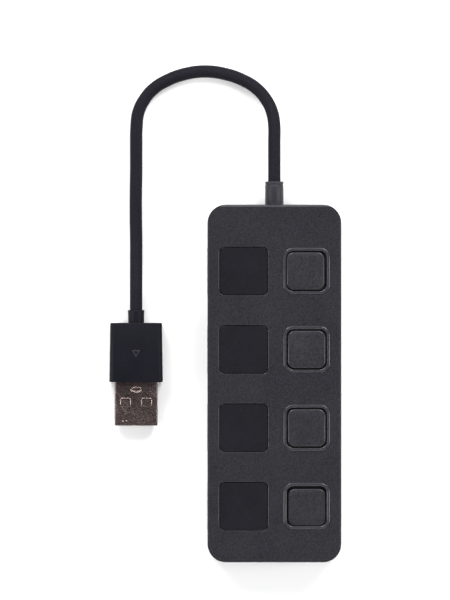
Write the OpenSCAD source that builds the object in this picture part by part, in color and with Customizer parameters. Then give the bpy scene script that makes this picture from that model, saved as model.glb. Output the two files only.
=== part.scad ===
// Four-port hub with one latching push switch for each port, and a short captive lead.
// It lies on its back: Z is up, the lead leaves the +Y end and the sockets face -X.
// The origin is the centre of the housing's underside.

/* [Housing] */
// Width of the housing, sockets' side to plain side
housing_w = 37.4; // [37.4:0.1:48]
// Length of the housing
housing_l = 100; // [98:0.5:130]
// Height of the housing's flat top above its underside
housing_h = 14; // [13.6:0.1:18]
// Radius of the four upright corners
corner_r = 5.2; // [3:0.1:8]
// Rounding of the top and bottom edges
edge_r = 0.6; // [0.3:0.1:1.2]
// Wall thickness of both covers
wall = 1.6; // [1.2:0.1:2]
// Height of the bottom cover's locating lip
lip_h = 0.8; // [0.4:0.1:1.2]
// Thickness of the locating lip
lip_t = 0.7; // [0.5:0.05:0.8]
// Clearance between parts that locate each other
fit_gap = 0.1; // [0.05:0.01:0.15]

/* [Rows] */
// Distance from one port and its button to the next
row_pitch = 21.9; // [18.2:0.1:24]
// Offset of the four rows from the housing's middle, along Y
rows_shift = -1.45; // [-3:0.05:3]

/* [Status windows] */
// Size of a window along X
window_w = 13.6; // [11:0.1:14]
// Size of a window along Y
window_l = 13.5; // [11:0.1:15]
// Corner radius of a window
window_r = 1.65; // [0.6:0.05:2]
// Thickness of a window
window_t = 0.8; // [0.6:0.1:1]
// Depth of a window's face below the housing's top
window_sink = 0.3; // [0.1:0.05:0.4]
// Width of the ledge that carries a window
window_ledge = 0.8; // [0.5:0.1:1.5]
// Window centre along X
window_x = -8.6; // [-9.5:0.1:-8.4]

/* [Buttons] */
// Button centre along X
button_x = 9; // [9:0.1:9.6]
// Outer width of the raised bezel round a button
bezel_w = 13; // [12.8:0.1:13.6]
// Height of the bezel above the housing's top
bezel_h = 0.3; // [0.1:0.05:0.6]
// Outer corner radius of the bezel
bezel_r = 2.6; // [2:0.1:3.5]
// Width of the square opening that a cap moves in
opening_w = 11.2; // [10.8:0.1:11.6]
// Corner radius of the opening
opening_r = 2; // [1:0.1:2.4]
// Gap between a cap and its opening, all round
cap_gap = 0.45; // [0.4:0.01:0.55]
// Height of a released cap's face above the housing's top
cap_rise = 0.9; // [0.9:0.1:1.4]
// Thickness of a cap's face
cap_face_t = 1.2; // [0.8:0.1:1.4]
// Thickness of a cap's skirt
cap_wall = 0.9; // [0.6:0.05:1]
// Reach of a cap's retaining flange under the cover
flange_reach = 0.5; // [0.3:0.1:0.8]
// Thickness of the retaining flange
flange_t = 0.8; // [0.6:0.1:1]
// How far a latched button stays down
latch_drop = 1.3; // [1:0.05:1.4]

/* [Switches] */
// Width of a switch's square body
switch_w = 7; // [6.6:0.1:7.4]
// Height of a switch's body above the board
switch_h = 5; // [4.6:0.1:5.2]
// Width of a switch's square stem
stem_w = 2.8; // [2.4:0.1:3]
// Width of the stem's foot inside the switch
foot_w = 4.4; // [4:0.1:4.6]
// Height of the stem's foot
foot_h = 1.2; // [1:0.1:1.2]
// Thickness of the top of a switch's body
switch_roof = 1; // [0.8:0.1:1]
// Wire diameter of the return spring
spring_wire = 0.3; // [0.2:0.05:0.3]
// Turns of the return spring
spring_turns = 2; // [1:1:2]

/* [Sockets] */
// Outer width of a socket's steel shell, along Y
port_w = 13.1; // [13.1:0.1:13.5]
// Outer height of a socket's steel shell
port_h = 5.7; // [5.7:0.05:6]
// Depth of a socket, along X
port_depth = 14; // [13:0.1:14.4]
// Sheet thickness of the steel shells
sheet_t = 0.3; // [0.2:0.05:0.35]
// How far a socket stands out of the housing's side
port_proud = 0.1; // [0:0.05:0.5]
// Clearance round a socket in the housing's wall
port_fit = 0.15; // [0.1:0.05:0.3]
// Width of a socket's tongue
tongue_w = 11.1; // [10.6:0.1:11.3]
// Thickness of a socket's tongue
tongue_t = 1.84; // [1.6:0.02:1.9]
// Free gap above the tongue
tongue_gap = 0.7; // [0.6:0.05:0.8]
// Distance from the socket's mouth to the tongue's tip
tongue_setback = 0.8; // [0.4:0.1:1.5]
// Depth of the insulator block behind the tongue
block_depth = 4.6; // [3.5:0.1:5]
// Width of a contact strip
contact_w = 1; // [0.8:0.05:1.2]
// Thickness of a contact strip
contact_t = 0.25; // [0.15:0.05:0.3]
// Distance between the two inner contacts
contact_inner = 2; // [2:0.1:2.2]
// Distance between the two outer contacts
contact_outer = 7; // [6.8:0.1:7.2]

/* [Board] */
// Thickness of the circuit board
board_t = 1.2; // [1:0.1:1.2]
// Gap between the floor of the housing and the board
board_lift = 1.4; // [1.4:0.1:1.8]
// Clearance between the board's edge and the walls
board_gap = 0.3; // [0.2:0.05:0.5]

/* [Screws] */
// Screw centres each side of the middle, along X
screw_x = 11; // [10.5:0.1:12]
// Shank diameter
screw_d = 2; // [1.8:0.1:2.2]
// Head diameter
screw_head_d = 3.8; // [3.4:0.1:4]
// Head height
screw_head_h = 1.2; // [1:0.1:1.3]
// Length under the head
screw_len = 7; // [6:0.1:8]
// Outer diameter of the top cover's screw bosses
boss_d = 4.4; // [4:0.1:4.6]

/* [Lead] */
// Diameter of the lead
cable_d = 3.5; // [2.8:0.1:4.2]
// Length of the strain relief outside the housing
gland_l = 6.5; // [5:0.5:9]
// Thickness of the strain relief's wall round the lead
gland_wall = 0.85; // [0.6:0.05:1]
// Diameter of one wire inside the lead
wire_d = 0.9; // [0.6:0.05:1]

/* [Plug] */
// Width of the plug's grip at its rear
grip_rear_w = 14.5; // [13:0.1:16]
// Width of the plug's grip where the steel shell comes out
grip_front_w = 15; // [13.5:0.1:16]
// Length of the grip without its boot
grip_l = 16.6; // [14:0.1:22]
// Height of the grip
grip_h = 8; // [7:0.1:8]
// Corner radius of the grip, seen from above
grip_r = 1.2; // [0.8:0.1:2]
// Length of the boot behind the grip
boot_l = 3.6; // [2:0.1:6]
// Thickness of the boot's wall round the lead
boot_wall = 0.5; // [0.3:0.05:0.8]
// Width of the plug's steel shell
plug_w = 12; // [11.9:0.05:12.1]
// Height of the plug's steel shell
plug_h = 4.5; // [4.4:0.05:4.6]
// Length of the steel shell outside the grip
plug_l = 12.2; // [11.8:0.1:13]
// Length of the steel shell held inside the grip
plug_root = 4; // [3:0.5:6]
// Corner radius of the plug's steel shell
plug_r = 0.5; // [0.4:0.05:0.8]
// Thickness of the plug's insulator
insulator_t = 1.9; // [1.6:0.05:2]
// Distance between the centres of the two latch windows
latch_pitch = 6.2; // [5.8:0.1:6.6]
// Size of a latch window across the plug
latch_w = 3; // [2.4:0.1:3.2]
// Size of a latch window along the plug
latch_l = 2.4; // [2:0.1:3]
// Distance from the grip to the middle of the latch windows
latch_y = 5.7; // [5:0.1:6.5]

/* [Hidden] */
rows = 4;
// Buttons 1 to 3 are released, and button 4 is latched down
latched = [false, false, false, true];
// Where each cap leans in its opening, because its seat on the stem has play
cap_lean = [[-0.3, 0], [0, 0], [0, 0], [0.1, -0.35]];
arc_steps = 10;
edge_steps = 3;
round_fn = 48;
overrun = 1;
joint_gap = 0.02;

// Heights of the stack, from the underside up
board_z = wall + board_lift;
board_top = board_z + board_t;
port_z = board_top + port_h / 2;
seam_z = port_z;
ceiling_z = housing_h - wall;
inner_w = housing_w - 2 * wall;
inner_l = housing_l - 2 * wall;

// Sockets
port_front = -housing_w / 2 - port_proud;
port_back = port_front + port_depth;
port_in_w = port_w - 2 * sheet_t;
port_in_h = port_h - 2 * sheet_t;
tongue_top = port_in_h / 2 - tongue_gap;
contact_tip = 1.6;
pin_w = 0.6;
pin_stub = 0.8;
pin_hole_d = 0.9;
tab_w = 1.6;
tab_x = 9;
tab_slot = [2.2, 0.8];
leaf_w = 2;
leaf_l = 5.5;
leaf_x = 3;
leaf_y = 3.1;
leaf_slot = 0.5;

// Buttons and switches
cap_w = opening_w - 2 * cap_gap;
cap_r = opening_r - cap_gap;
cap_edge_r = 0.35;
cap_top = housing_h + cap_rise;
cap_foot = ceiling_z - fit_gap - flange_t;
flange_w = opening_w + 2 * flange_reach;
stem_top = cap_top - cap_face_t;
socket_d = 4.8;
socket_l = 2.2;
stem_fit = 0.03;
switch_top = board_top + switch_h;
foot_top = switch_top - switch_roof - fit_gap;
switch_slide = 0.1;
spring_r = foot_w / 2 - spring_wire;
spring_sides = 6;
spring_turn_steps = 12;
leg_size = [0.5, 0.25];
leg_pitch = 2.2;
leg_rows = 3;

// Windows
window_base = housing_h - window_sink - window_t;

// Board outline, screws and what stands on the board
board_w = inner_w - 2 * board_gap;
board_l = inner_l - 2 * board_gap;
board_r = corner_r - wall - board_gap;
notch_w = 9;
flange_len = 1.5;
screw_rows = [rows_shift + row_pitch, rows_shift - row_pitch];
screw_fit = 0.15;
screw_sink = 0.2;
screw_seat = screw_sink + screw_head_h;
post_d = 5.2;
cross_slot = [2.2, 0.5, 0.7];
thread_fit = 0.02;
tip_room = 0.6;
lamp = [1.6, 1.2, 0.5];
lamp_x = port_back + 1.5;
lamp_dome_r = 0.45;
chip = [5.3, 10.2, 1.7];
chip_x = 1;
chip_lift = 0.1;
chip_leg = [1.25, 0.3, 0.2];
chip_leg_pitch = 0.65;
chip_legs = 14;
crystal_size = [4.7, 11.4, 3.4];
crystal_rim = 0.4;
bulk_at = [8, housing_l / 2 - 7];
bulk_d = 5;
bulk_h = 5.4;
bulk_base = [5.3, 5.3, 0.9];
capacitor = [1.25, 2, 0.9];
capacitor_x = 2.2;
capacitor_room = 0.85;
capacitor_y = (row_pitch - crystal_size[1] - capacitor[1]) / 2 - capacitor_room;
resistor = [0.8, 1.6, 0.45];
resistor_x = port_back + 4;

// Strain relief, lead and wires
gland_y = housing_l / 2;
gland_end = gland_y + gland_l;
gland_r = cable_d / 2 + gland_wall;
neck_r = gland_r - 0.4;
gland_flange_r = gland_r + 0.8;
gland_flare = 0.15;
gland_shoulder = 0.25;
shoulder_l = 0.8;
jacket_end = inner_l / 2 - 5.4;
lie_gap = 0.05;
wire_spread = 2.2;
wire_share = 0.55;
wire_straight = 0.8;
wire_fall = 2.2;
pad_reach = [1, 0.2];
pad_rise = [2, 1.2, 0.5];
pad_y = jacket_end - 4.5;
wire_sides = 8;
cable_sides = 8;

// The plug lies flat on its grip
plug_z = grip_h / 2;

// Route of the lead's centre line, from the strain relief to the plug's boot
lie_z = cable_d / 2 + lie_gap;
cable_route = [
    [0, 56.5, seam_z], [0, 60, seam_z], [0, 64, 6.7], [0, 68, 6.2], [0, 72, 5.5],
    [-0.6, 75.9, 4.8], [-2.3, 79.5, 4], [-5, 82.6, 3.3], [-8.7, 84.9, 2.7],
    [-13.4, 86.6, 2.2], [-19.4, 87.4, 1.9], [-25.4, 86.6, lie_z], [-30, 84.9, lie_z],
    [-33.7, 82.6, lie_z], [-36.4, 79.5, lie_z], [-38.1, 75.9, lie_z], [-38.6, 72, lie_z],
    [-38.7, 66, lie_z], [-38.7, 60, lie_z], [-38.8, 53, lie_z], [-38.8, 46, lie_z],
    [-38.7, 40, 1.9], [-38.7, 35, 2.4], [-38.7, 30, 3.2], [-38.7, 25.5, plug_z],
    [-38.7, 20.5, plug_z]
];
lead_shift = [0, gland_end - cable_route[0][1], 0];

// The plug, at the end of the lead
lead_end = cable_route[len(cable_route) - 1] + lead_shift;
grip_rear = lead_end[1] - boot_l;
grip_front = grip_rear - grip_l;
plug_tip = grip_front - plug_l;
plug_in_w = plug_w - 2 * sheet_t;
plug_in_h = plug_h - 2 * sheet_t;
insulator_setback = 0.5;
insulator_gap = 0.03;
plug_block_l = 6;
plug_contact_l = [8, 9];

// Every separate piece of the object

// Y of a row, counted from 1 at the lead's end
function row_y(i) = rows_shift + ((rows + 1) / 2 - i) * row_pitch;

// How far down a button rests
function rest_drop(i) = latched[i - 1] ? latch_drop : 0;

// A rectangle with round corners, as the points of its outline
function round_rect(w, l, r) = [
    for (q = [0 : 3], s = [0 : arc_steps])
        let (a = 90 * (q + s / arc_steps), sx = q == 0 || q == 3 ? 1 : -1, sy = q < 2 ? 1 : -1)
            [sx * (w / 2 - r) + r * cos(a), sy * (l / 2 - r) + r * sin(a)]
];

// Signed places of the four contacts across a socket or plug
function contact_places() = [for (s = [-1, 1], d = [contact_inner, contact_outer]) s * d / 2];

function unit(v) = v / norm(v);

// Direction of a path at point k
function heading(path, k) =
    unit(path[min(k + 1, len(path) - 1)] - path[max(k - 1, 0)]);

// A level direction across the path, or X where the path stands upright
function across(t) = norm([t[0], t[1]]) < 0.01 ? [1, 0, 0] : unit(cross([0, 0, 1], t));

// A tube swept along a path, with its end faces square to the path
module tube(path, r, sides) {
    last = len(path) - 1;
    points = [
        for (k = [0 : last])
            let (t = heading(path, k), u = across(t), v = cross(t, u))
                for (s = [0 : sides - 1])
                    path[k] + r * (cos(360 * s / sides) * u + sin(360 * s / sides) * v)
    ];
    walls = [
        for (k = [0 : last - 1], s = [0 : sides - 1], half = [0, 1])
            let (n = (s + 1) % sides, a = k * sides, b = a + sides)
                half == 0 ? [a + s, b + s, b + n] : [a + s, b + n, a + n]
    ];
    start = [for (s = [0 : sides - 1]) s];
    end = [for (s = [sides - 1 : -1 : 0]) last * sides + s];
    polyhedron(points = points, faces = concat([start, end], walls), convexity = 6);
}

// An upright plate with round corners between two heights
module plate(w, l, r, z0, z1) {
    translate([0, 0, z0]) linear_extrude(z1 - z0) polygon(round_rect(w, l, r));
}

// A round edge in steps about a centre, or the centre itself where there is no radius
function edge_arc(x, z, r, start) = r == 0 ? [[x, z]] : [
    for (s = [0 : edge_steps])
        let (a = start + 90 * s / edge_steps)
            [x + r * cos(a), z + r * sin(a)]
];

// A plate's cross-section, with its top and bottom edges rounded
function edge_section(w, z0, z1, top_r, bottom_r) = concat(
    edge_arc(w / 2 - top_r, z1 - top_r, top_r, 0),
    edge_arc(top_r - w / 2, z1 - top_r, top_r, 90),
    edge_arc(bottom_r - w / 2, z0 + bottom_r, bottom_r, 180),
    edge_arc(w / 2 - bottom_r, z0 + bottom_r, bottom_r, 270)
);

// A plate whose top and bottom edges are rounded along its straight sides
module soft_plate(w, l, r, z0, z1, top_r, bottom_r) {
    intersection() {
        plate(w, l, r, z0, z1);
        translate([0, l / 2 + overrun, 0]) rotate([90, 0, 0]) linear_extrude(l + 2 * overrun)
            polygon(edge_section(w, z0, z1, top_r, bottom_r));
        translate([-w / 2 - overrun, 0, 0]) rotate([90, 0, 90]) linear_extrude(w + 2 * overrun)
            polygon(edge_section(l, z0, z1, top_r, bottom_r));
    }
}

// A box centred on X and Y, standing on z = 0
module block(size) {
    translate([-size[0] / 2, -size[1] / 2, 0]) cube(size);
}

// The hollow housing before it is parted
module housing_shell() {
    difference() {
        soft_plate(housing_w, housing_l, corner_r, 0, housing_h, edge_r, edge_r);
        plate(inner_w, inner_l, corner_r - wall, wall, ceiling_z);
    }
}

// Everything above or below the parting plane, lip included, grown by a clearance
module lower_half(grow) {
    big = 2 * (housing_w + housing_l);
    translate([0, 0, -overrun]) block([big, big, seam_z + overrun]);
    plate(inner_w + 2 * lip_t + 2 * grow, inner_l + 2 * lip_t + 2 * grow,
        corner_r - wall + lip_t + grow, seam_z - overrun, seam_z + lip_h + grow);
}

// Openings that both covers share: four socket mouths and the lead's hole
module wall_openings() {
    mouth_w = port_w + 2 * port_fit;
    mouth_h = port_h + 2 * port_fit;
    for (i = [1 : rows]) {
        translate([-housing_w / 2 + wall / 2, row_y(i), port_z - mouth_h / 2])
            block([3 * wall, mouth_w, mouth_h]);
    }
    translate([0, gland_y + overrun, seam_z]) rotate([90, 0, 0])
        cylinder(r = neck_r + joint_gap, h = wall + 2 * overrun, $fn = round_fn);
}

// Places of the four screws
module at_screws() {
    for (x = [-screw_x, screw_x], y = screw_rows) translate([x, y, 0]) children();
}

module top_cover() {
    color("#333239") difference() {
        union() {
            difference() {
                housing_shell();
                lower_half(fit_gap);
            }
            for (i = [1 : rows]) translate([button_x, row_y(i), 0])
                plate(bezel_w, bezel_w, bezel_r, housing_h - wall / 2, housing_h + bezel_h);
            at_screws() translate([0, 0, board_top])
                cylinder(d = boss_d, h = ceiling_z + wall / 2 - board_top, $fn = round_fn);
        }
        for (i = [1 : rows]) {
            translate([window_x, row_y(i), 0]) {
                plate(window_w + fit_gap, window_l + fit_gap, window_r + fit_gap / 2,
                    window_base, housing_h + overrun);
                plate(window_w - 2 * window_ledge, window_l - 2 * window_ledge, window_r,
                    ceiling_z - overrun, housing_h);
            }
            translate([button_x, row_y(i), 0])
                plate(opening_w, opening_w, opening_r, ceiling_z - overrun, housing_h + overrun);
        }
        at_screws() translate([0, 0, board_top - overrun])
            cylinder(d = screw_d, h = screw_seat + screw_len + tip_room - board_top + overrun,
                $fn = round_fn);
        wall_openings();
    }
}

module bottom_cover() {
    color("#2f2e35") difference() {
        union() {
            intersection() {
                housing_shell();
                lower_half(0);
            }
            at_screws() translate([0, 0, wall / 2])
                cylinder(d = post_d, h = board_z - wall / 2, $fn = round_fn);
        }
        at_screws() {
            translate([0, 0, -overrun])
                cylinder(d = screw_head_d + 2 * screw_fit, h = screw_seat + overrun, $fn = round_fn);
            cylinder(d = screw_d + 2 * screw_fit, h = board_z + overrun, $fn = round_fn);
        }
        wall_openings();
    }
}

// Four self-tapping screws, with their cross recesses
module cover_screws() {
    color("#8c8c90") at_screws() difference() {
        union() {
            translate([0, 0, screw_sink])
                cylinder(d = screw_head_d, h = screw_head_h, $fn = round_fn);
            translate([0, 0, screw_seat])
                cylinder(d = screw_d - 2 * thread_fit, h = screw_len, $fn = round_fn);
        }
        for (a = [0, 90]) rotate([0, 0, a]) translate([0, 0, screw_sink - cross_slot[2] / 2])
            block(cross_slot);
    }
}

module circuit_board() {
    color("#1f5a36") difference() {
        plate(board_w, board_l, board_r, board_z, board_top);
        translate([0, board_l / 2, board_z - overrun])
            block([notch_w, 2 * (flange_len + board_gap + fit_gap), board_t + 2 * overrun]);
        at_screws() translate([0, 0, board_z - overrun])
            cylinder(d = screw_d + 2 * screw_fit, h = board_t + 2 * overrun, $fn = round_fn);
        for (i = [1 : rows]) translate([port_front, row_y(i), board_z - overrun]) {
            for (y = contact_places()) translate([port_depth + contact_t / 2 + joint_gap, y, 0])
                cylinder(d = pin_hole_d, h = board_t + 2 * overrun, $fn = round_fn);
            for (s = [-1, 1]) translate([tab_x, s * (port_w - sheet_t) / 2, 0])
                block([tab_slot[0], tab_slot[1], board_t + 2 * overrun]);
        }
        for (i = [1 : rows]) translate([button_x, row_y(i), board_z - overrun])
            at_legs() cylinder(d = pin_hole_d, h = board_t + 2 * overrun, $fn = round_fn);
    }
}

// Moves to socket i, with its mouth at x = 0 and its middle at y = z = 0
module at_port(i) {
    translate([port_front, row_y(i), port_z]) children();
}

// The sheet-metal shell of a socket, with the slots round its four spring leaves
module port_shell(i) {
    tab_l = port_h / 2 + board_t + pin_stub;
    color("#b9babd") at_port(i) difference() {
        union() {
            translate([0, -port_w / 2, -port_h / 2]) cube([port_depth, port_w, port_h]);
            for (s = [-1, 1]) translate([tab_x, s * (port_w - sheet_t) / 2, -tab_l])
                block([tab_w, sheet_t, tab_l]);
        }
        translate([-overrun, -port_in_w / 2, -port_in_h / 2])
            cube([port_depth + 2 * overrun, port_in_w, port_in_h]);
        for (y = [-leaf_y, leaf_y], z = [-1, 1])
            translate([leaf_x + leaf_l / 2, y, z * port_h / 2 - sheet_t])
                difference() {
                    block([leaf_l, leaf_w + 2 * leaf_slot, 2 * sheet_t]);
                    translate([0, 0, -sheet_t]) block([leaf_l + sheet_t, leaf_w, 4 * sheet_t]);
                }
    }
}

// The room that a contact strip takes in the tongue and its block, grown by a clearance
module contact_strip(grow) {
    underside = tongue_top - tongue_t;
    for (y = contact_places())
        translate([contact_tip - grow, y - contact_w / 2 - grow, underside - contact_t / 2 - grow])
            cube([port_depth + contact_t - contact_tip + joint_gap + grow,
                contact_w + 2 * grow, contact_t + 2 * grow]);
}

module port_tongue(i) {
    color("#e9e9ea") at_port(i) difference() {
        union() {
            translate([tongue_setback, -tongue_w / 2, tongue_top - tongue_t])
                cube([port_depth - tongue_setback, tongue_w, tongue_t]);
            translate([port_depth - block_depth, -port_in_w / 2 + joint_gap, -port_in_h / 2 + joint_gap])
                cube([block_depth, port_in_w - 2 * joint_gap, port_in_h - 2 * joint_gap]);
        }
        contact_strip(joint_gap);
    }
}

module port_contacts(i) {
    underside = tongue_top - tongue_t;
    pin_l = port_h / 2 + board_t + pin_stub + underside;
    color("#d8b45a") at_port(i) {
        contact_strip(0);
        for (y = contact_places())
            translate([port_depth + joint_gap, y - pin_w / 2, underside - pin_l])
                cube([contact_t, pin_w, pin_l]);
    }
}

module status_window(i) {
    color("#1d1c21") translate([window_x, row_y(i), 0])
        soft_plate(window_w, window_l, window_r, window_base, window_base + window_t, 0.1, 0);
}

module status_led(i) {
    color("#f3f3ea") translate([lamp_x, row_y(i), board_top]) {
        block(lamp);
        cylinder(r = lamp_dome_r, h = lamp[2] + lamp_dome_r / 2, $fn = round_fn);
    }
}

// Moves to button i with its stem's axis at x = y = 0, at the height of its rest
module at_button(i) {
    translate([button_x, row_y(i), -rest_drop(i)]) children();
}

module button_cap(i) {
    lean = [cap_lean[i - 1][0], cap_lean[i - 1][1], 0];
    hollow_w = cap_w - 2 * cap_wall;
    color("#3b3a40") at_button(i) {
        difference() {
            union() {
                translate(lean) soft_plate(cap_w, cap_w, cap_r, cap_foot, cap_top, cap_edge_r, 0);
                plate(flange_w, flange_w, opening_r, cap_foot, cap_foot + flange_t);
            }
            translate(lean + [0, 0, cap_foot - overrun])
                block([hollow_w, hollow_w, stem_top - cap_foot + overrun]);
        }
        difference() {
            translate([0, 0, stem_top - socket_l])
                cylinder(d = socket_d, h = socket_l + cap_face_t / 2, $fn = round_fn);
            translate([0, 0, stem_top - socket_l - overrun])
                block([stem_w + 2 * stem_fit, stem_w + 2 * stem_fit, socket_l + overrun]);
        }
    }
}

module switch_plunger(i) {
    color("#e4e2dc") at_button(i) {
        translate([0, 0, foot_top - overrun / 2])
            block([stem_w, stem_w, stem_top - foot_top + overrun / 2]);
        translate([0, 0, foot_top - foot_h]) block([foot_w, foot_w, foot_h]);
    }
}

module switch_body(i) {
    cavity_w = foot_w + 2 * switch_slide;
    hole_w = stem_w + 2 * switch_slide;
    color("#26262a") translate([button_x, row_y(i), board_top]) difference() {
        block([switch_w, switch_w, switch_h]);
        translate([0, 0, -overrun]) block([cavity_w, cavity_w, switch_h - switch_roof + overrun]);
        block([hole_w, hole_w, switch_h + overrun]);
    }
}

// A coil between the board and the stem's foot
module switch_spring(i) {
    room = foot_top - foot_h - rest_drop(i) - board_top;
    steps = spring_turns * spring_turn_steps;
    rise = room - spring_wire - 2 * joint_gap;
    coil = [
        for (k = [0 : steps])
            [spring_r * cos(360 * k / spring_turn_steps), spring_r * sin(360 * k / spring_turn_steps),
                spring_wire / 2 + joint_gap + rise * k / steps]
    ];
    color("#c9c9cc") translate([button_x, row_y(i), board_top])
        tube(coil, spring_wire / 2, spring_sides);
}

// Places of one switch's soldered legs
module at_legs() {
    for (s = [-1, 1], k = [1 : leg_rows])
        translate([s * (switch_w / 2 - leg_size[1]), (k - (leg_rows + 1) / 2) * leg_pitch, 0])
            children();
}

module switch_legs() {
    color("#c4c4c8") for (i = [1 : rows])
        translate([button_x, row_y(i), board_z - pin_stub])
            at_legs() block([leg_size[1], leg_size[0], board_t + pin_stub]);
}

module hub_chip() {
    color("#1b1b1d") translate([chip_x, rows_shift, board_top + chip_lift])
        block([chip[0], chip[1], chip[2]]);
}

module chip_legs() {
    color("#b5b6b9") translate([chip_x, rows_shift, board_top])
        for (s = [-1, 1], k = [1 : chip_legs])
            translate([s * (chip[0] + chip_leg[0]) / 2, (k - (chip_legs + 1) / 2) * chip_leg_pitch, 0]) {
                block([chip_leg[0], chip_leg[1], chip_leg[2]]);
                translate([-s * (chip_leg[0] - chip_leg[2]) / 2, 0, 0])
                    block([chip_leg[2], chip_leg[1], chip[2] / 2]);
            }
}

module crystal() {
    can_r = crystal_size[0] / 2 - crystal_rim;
    color("#c9c9c6") translate([chip_x, screw_rows[0], board_top]) {
        block([crystal_size[0], crystal_size[1], crystal_rim]);
        plate(2 * can_r, crystal_size[1] - 2 * crystal_rim, can_r - joint_gap, 0, crystal_size[2]);
    }
}

module bulk_capacitor() {
    color("#a9aaac") translate([bulk_at[0], bulk_at[1], board_top]) {
        block(bulk_base);
        cylinder(d = bulk_d, h = bulk_h, $fn = round_fn);
    }
}

module capacitors() {
    color("#b08d62") for (i = [1 : rows])
        translate([capacitor_x, row_y(i) + capacitor_y, board_top]) block(capacitor);
}

module resistors() {
    color("#232326") for (i = [1 : rows])
        translate([resistor_x, row_y(i), board_top]) block(resistor);
}

// The strain relief, clamped in the end wall between its flange and its sleeve
module cable_gland() {
    wall_in = -wall;
    flange_in = -wall - flange_len;
    color("#4a494f") translate([0, gland_y, seam_z]) rotate([-90, 0, 0])
        rotate_extrude($fn = round_fn) polygon([
            [cable_d / 2 + joint_gap, flange_in],
            [gland_flange_r, flange_in],
            [gland_flange_r, wall_in],
            [neck_r, wall_in],
            [neck_r, 0],
            [gland_r + gland_flare, 0],
            [gland_r, gland_l / 3],
            [gland_r - gland_flare, gland_l - shoulder_l],
            [gland_r - gland_shoulder, gland_l - shoulder_l / 2],
            [gland_r - gland_shoulder - gland_flare, gland_l],
            [cable_d / 2 + joint_gap, gland_l]
        ]);
}

// The lead's jacket inside the strain relief and the housing
module cable_tail() {
    color("#26252a") translate([0, jacket_end, seam_z]) rotate([-90, 0, 0])
        cylinder(d = cable_d, h = gland_end - jacket_end, $fn = round_fn);
}

// The free lead
module cable() {
    color("#26252a") tube([for (p = cable_route) p + lead_shift], cable_d / 2, cable_sides);
}

// One of the four wires, from the jacket's end to its pad on the board
module wire(k) {
    side = k - (rows + 1) / 2;
    quarter = 90 * k + 45;
    from = wire_share * cable_d / 2 * [cos(quarter), sin(quarter)];
    pad_x = side * wire_spread;
    tube([
        [from[0], jacket_end, seam_z + from[1]],
        [from[0], jacket_end - wire_straight, seam_z + from[1]],
        [(from[0] + pad_x) / 2, jacket_end - wire_fall, seam_z + from[1] / 2],
        [pad_x, pad_y + pad_reach[0], board_top + pad_rise[0]],
        [pad_x, pad_y + pad_reach[1], board_top + pad_rise[1]],
        [pad_x, pad_y, board_top + pad_rise[2]],
        [pad_x, pad_y, board_top]
    ], wire_d / 2, wire_sides);
}

module lead_power() {
    color("#a32626") wire(1);
}

module lead_data_minus() {
    color("#e6e6e4") wire(2);
}

module lead_data_plus() {
    color("#2d7a40") wire(3);
}

module lead_ground() {
    color("#1a1a1c") wire(4);
}

// Outline of the plug's grip, drawn in by a distance, with its boot end at y = 0
function grip_outline(d) =
    let (r = grip_r - d, rear = grip_rear_w / 2 - d - r, front = grip_front_w / 2 - d)
        concat(
            [[-front, -grip_l], [front, -grip_l]],
            [for (s = [0 : arc_steps]) let (a = 90 * s / arc_steps)
                [rear + r * cos(a), -d - r + r * sin(a)]],
            [for (s = [0 : arc_steps]) let (a = 90 + 90 * s / arc_steps)
                [-rear + r * cos(a), -d - r + r * sin(a)]]
        );

module plug_overmold() {
    color("#222126") translate([lead_end[0], grip_rear, plug_z]) {
        difference() {
            hull() {
                for (s = [0 : edge_steps]) {
                    a = 90 * s / edge_steps;
                    half_h = grip_h / 2 - edge_r * (1 - sin(a));
                    translate([0, 0, -half_h]) linear_extrude(2 * half_h)
                        polygon(grip_outline(edge_r * (1 - cos(a))));
                }
            }
            translate([0, plug_root - grip_l, 0]) rotate([90, 0, 0])
                plate(plug_w + 2 * joint_gap, plug_h + 2 * joint_gap, plug_r + joint_gap,
                    0, plug_root + overrun);
        }
        rotate([-90, 0, 0]) translate([0, 0, -edge_r])
            cylinder(r = cable_d / 2 + boot_wall, h = boot_l + edge_r, $fn = round_fn);
    }
}

// Moves to the mouth of the plug's shell, looking along +Y into it
module at_plug() {
    translate([lead_end[0], plug_tip, plug_z]) children();
}

module plug_shell() {
    shell_l = plug_l + plug_root;
    color("#6f6563") at_plug() difference() {
        translate([0, shell_l, 0]) rotate([90, 0, 0]) plate(plug_w, plug_h, plug_r, 0, shell_l);
        translate([0, shell_l + overrun, 0]) rotate([90, 0, 0])
            plate(plug_in_w, plug_in_h, plug_r - sheet_t / 2, 0, shell_l + 2 * overrun);
        for (x = [-latch_pitch / 2, latch_pitch / 2])
            translate([x, plug_l - latch_y, -plug_h]) block([latch_w, latch_l, 2 * plug_h]);
    }
}

// The room that a plug contact takes, grown by a clearance
module plug_strips(grow) {
    top = -plug_in_h / 2 + insulator_t;
    for (y = contact_places()) {
        strip_l = plug_contact_l[abs(y) > contact_inner ? 1 : 0];
        translate([y - contact_w / 2 - grow, insulator_setback + plug_contact_l[1] - strip_l + overrun - grow,
            top - contact_t / 2 - grow])
            cube([contact_w + 2 * grow, strip_l + 2 * grow, contact_t + 2 * grow]);
    }
}

module plug_insulator() {
    body_l = plug_l + plug_root - insulator_setback;
    low = -plug_in_h / 2 + insulator_gap;
    body_w = plug_in_w - 2 * insulator_gap - plug_r;
    color("#d9d9d7") at_plug() difference() {
        union() {
            translate([0, insulator_setback + body_l / 2, low])
                block([body_w, body_l, insulator_t - insulator_gap]);
            translate([0, insulator_setback + body_l - plug_block_l / 2, low])
                block([body_w, plug_block_l, plug_in_h - 2 * insulator_gap]);
        }
        plug_strips(joint_gap);
    }
}

module plug_contacts() {
    color("#d8b45a") at_plug() plug_strips(0);
}

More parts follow.
